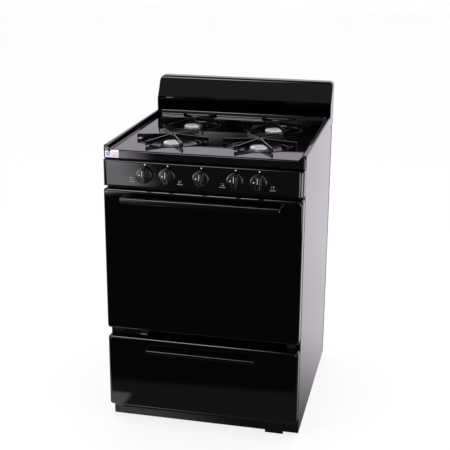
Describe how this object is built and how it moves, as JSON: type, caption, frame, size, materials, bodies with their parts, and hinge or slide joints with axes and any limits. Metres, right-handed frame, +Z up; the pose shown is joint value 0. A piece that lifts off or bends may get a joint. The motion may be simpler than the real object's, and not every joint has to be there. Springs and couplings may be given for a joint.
{
  "type": "freestanding gas range",
  "caption": "Freestanding black gas range with open burners under star grates, front control knobs, a drop-down oven door, a broiler drawer and a low backguard.",
  "frame": {"origin": "centre of the footprint on the floor, under the middle of the range", "axes": "+Z up, the front with its door faces -Y, +X is to the right as a person stands in front"},
  "size_m": [0.61, 0.715, 1.026],
  "materials": {
    "enamel": "gloss black porcelain enamel",
    "galvanised": "dull zinc-coated sheet",
    "satin_black": "satin black paint",
    "grey_enamel": "speckled grey oven enamel",
    "steel": "plain steel",
    "chrome_wire": "bright plated wire",
    "brass": "brass-coloured gas fittings",
    "cast_aluminium": "machined cast aluminium",
    "cast_iron": "black enamelled iron",
    "knob_plastic": "moulded black plastic",
    "gasket_fibre": "woven glass fibre"
  },
  "bodies": {
    "range_body": {"base_frame": "enamel", "levelling_bracket": "enamel", "left_side_panel": "enamel", "right_side_panel": "enamel", "rear_panel": "galvanised", "front_frame": "satin_black", "oven_liner": "grey_enamel", "oven_floor": "grey_enamel", "oven_burner": "steel", "flue_duct": "galvanised", "burner_box": "galvanised", "gas_manifold": "brass", "thermostat": "steel", "pressure_regulator": "cast_aluminium", "backguard": "enamel", "control_panel": "enamel", "door_gasket": "gasket_fibre", "door_hinge_left": "steel", "door_hinge_right": "steel", "burner_head_front_left": "cast_aluminium", "burner_head_front_right": "cast_aluminium", "burner_head_rear_left": "cast_aluminium", "burner_head_rear_right": "cast_aluminium"},
    "cooktop": {"cooktop": "enamel", "drip_bowl_front_left": "enamel", "drip_bowl_front_right": "enamel", "drip_bowl_rear_left": "enamel", "drip_bowl_rear_right": "enamel"},
    "door": {"door_panel": "enamel", "door_liner": "grey_enamel", "door_handle": "satin_black"},
    "drawer": {"drawer_front": "enamel", "drawer_box": "galvanised", "drawer_handle": "satin_black"},
    "broiler_set": {"broiler_pan": "enamel"},
    "broiler_grid": {"broiler_grid": "enamel"},
    "oven_rack_lower": {"oven_rack_lower": "chrome_wire"},
    "oven_rack_upper": {"oven_rack_upper": "chrome_wire"},
    "grate_front_left": {"grate_front_left": "cast_iron"},
    "burner_cap_front_left": {"burner_cap_front_left": "cast_aluminium"},
    "foot_front_left": {"levelling_foot_front_left": "steel"},
    "grate_front_right": {"grate_front_right": "cast_iron"},
    "burner_cap_front_right": {"burner_cap_front_right": "cast_aluminium"},
    "foot_front_right": {"levelling_foot_front_right": "steel"},
    "grate_rear_left": {"grate_rear_left": "cast_iron"},
    "burner_cap_rear_left": {"burner_cap_rear_left": "cast_aluminium"},
    "foot_rear_left": {"levelling_foot_rear_left": "steel"},
    "grate_rear_right": {"grate_rear_right": "cast_iron"},
    "burner_cap_rear_right": {"burner_cap_rear_right": "cast_aluminium"},
    "foot_rear_right": {"levelling_foot_rear_right": "steel"},
    "stem_rear_left": {"valve_stem_rear_left": "steel"},
    "knob_rear_left": {"knob_rear_left": "knob_plastic"},
    "stem_front_left": {"valve_stem_front_left": "steel"},
    "knob_front_left": {"knob_front_left": "knob_plastic"},
    "stem_oven": {"valve_stem_oven": "steel"},
    "knob_oven": {"knob_oven": "knob_plastic"},
    "stem_front_right": {"valve_stem_front_right": "steel"},
    "knob_front_right": {"knob_front_right": "knob_plastic"},
    "stem_rear_right": {"valve_stem_rear_right": "steel"},
    "knob_rear_right": {"knob_rear_right": "knob_plastic"}
  },
  "joints": [
    {"name": "door_hinge", "type": "hinge", "parent": "range_body", "child": "door", "pos_m": [0, -0.2925, 0.335], "axis": [1, 0, 0], "range_deg": [0, 90], "stiffness_Nm_per_rad": 4, "springref_deg": -20.05},
    {"name": "drawer_slide", "type": "slide", "parent": "range_body", "child": "drawer", "axis": [0, -1, 0], "range_m": [0, 0.32]},
    {"name": "cooktop_lift", "type": "hinge", "parent": "range_body", "child": "cooktop", "pos_m": [0, 0.276, 0.914], "axis": [-1, 0, 0], "range_deg": [0, 30]},
    {"name": "grate_lift_front_left", "type": "slide", "parent": "cooktop", "child": "grate_front_left", "axis": [0, 0, 1], "range_m": [0, 0.05]},
    {"name": "grate_lift_front_right", "type": "slide", "parent": "cooktop", "child": "grate_front_right", "axis": [0, 0, 1], "range_m": [0, 0.05]},
    {"name": "grate_lift_rear_left", "type": "slide", "parent": "cooktop", "child": "grate_rear_left", "axis": [0, 0, 1], "range_m": [0, 0.05]},
    {"name": "grate_lift_rear_right", "type": "slide", "parent": "cooktop", "child": "grate_rear_right", "axis": [0, 0, 1], "range_m": [0, 0.05]},
    {"name": "burner_cap_lift_front_left", "type": "slide", "parent": "range_body", "child": "burner_cap_front_left", "axis": [0, 0, 1], "range_m": [0, 0.01]},
    {"name": "burner_cap_lift_front_right", "type": "slide", "parent": "range_body", "child": "burner_cap_front_right", "axis": [0, 0, 1], "range_m": [0, 0.01]},
    {"name": "burner_cap_lift_rear_left", "type": "slide", "parent": "range_body", "child": "burner_cap_rear_left", "axis": [0, 0, 1], "range_m": [0, 0.01]},
    {"name": "burner_cap_lift_rear_right", "type": "slide", "parent": "range_body", "child": "burner_cap_rear_right", "axis": [0, 0, 1], "range_m": [0, 0.01]},
    {"name": "rear_left_knob_turn", "type": "hinge", "parent": "range_body", "child": "stem_rear_left", "pos_m": [-0.172, -0.32, 0.834], "axis": [0, -1, 0], "range_deg": [0, 230]},
    {"name": "rear_left_knob_push", "type": "slide", "parent": "stem_rear_left", "child": "knob_rear_left", "axis": [0, 1, 0], "range_m": [0, 0.003], "stiffness_N_per_m": 2000, "springref_m": -0.0005},
    {"name": "front_left_knob_turn", "type": "hinge", "parent": "range_body", "child": "stem_front_left", "pos_m": [-0.102, -0.32, 0.834], "axis": [0, -1, 0], "range_deg": [0, 230]},
    {"name": "front_left_knob_push", "type": "slide", "parent": "stem_front_left", "child": "knob_front_left", "axis": [0, 1, 0], "range_m": [0, 0.003], "stiffness_N_per_m": 2000, "springref_m": -0.0005},
    {"name": "oven_knob_turn", "type": "hinge", "parent": "range_body", "child": "stem_oven", "pos_m": [0, -0.32, 0.834], "axis": [0, -1, 0], "range_deg": [0, 270]},
    {"name": "oven_knob_push", "type": "slide", "parent": "stem_oven", "child": "knob_oven", "axis": [0, 1, 0], "range_m": [0, 0.003], "stiffness_N_per_m": 2000, "springref_m": -0.0005},
    {"name": "front_right_knob_turn", "type": "hinge", "parent": "range_body", "child": "stem_front_right", "pos_m": [0.102, -0.32, 0.834], "axis": [0, -1, 0], "range_deg": [0, 230]},
    {"name": "front_right_knob_push", "type": "slide", "parent": "stem_front_right", "child": "knob_front_right", "axis": [0, 1, 0], "range_m": [0, 0.003], "stiffness_N_per_m": 2000, "springref_m": -0.0005},
    {"name": "rear_right_knob_turn", "type": "hinge", "parent": "range_body", "child": "stem_rear_right", "pos_m": [0.172, -0.32, 0.834], "axis": [0, -1, 0], "range_deg": [0, 230]},
    {"name": "rear_right_knob_push", "type": "slide", "parent": "stem_rear_right", "child": "knob_rear_right", "axis": [0, 1, 0], "range_m": [0, 0.003], "stiffness_N_per_m": 2000, "springref_m": -0.0005},
    {"name": "lower_rack_slide", "type": "slide", "parent": "range_body", "child": "oven_rack_lower", "axis": [0, -1, 0], "range_m": [0, 0.045]},
    {"name": "upper_rack_slide", "type": "slide", "parent": "range_body", "child": "oven_rack_upper", "axis": [0, -1, 0], "range_m": [0, 0.045]},
    {"name": "broiler_pan_lift", "type": "slide", "parent": "drawer", "child": "broiler_set", "axis": [0, 0, 1], "range_m": [0, 0.09]},
    {"name": "broiler_grid_lift", "type": "slide", "parent": "broiler_set", "child": "broiler_grid", "axis": [0, 0, 1], "range_m": [0, 0.08]},
    {"name": "levelling_foot_front_left_screw", "type": "slide", "parent": "range_body", "child": "foot_front_left", "axis": [0, 0, -1], "range_m": [0, 0.015]},
    {"name": "levelling_foot_front_right_screw", "type": "slide", "parent": "range_body", "child": "foot_front_right", "axis": [0, 0, -1], "range_m": [0, 0.015]},
    {"name": "levelling_foot_rear_left_screw", "type": "slide", "parent": "range_body", "child": "foot_rear_left", "axis": [0, 0, -1], "range_m": [0, 0.015]},
    {"name": "levelling_foot_rear_right_screw", "type": "slide", "parent": "range_body", "child": "foot_rear_right", "axis": [0, 0, -1], "range_m": [0, 0.015]}
  ]
}
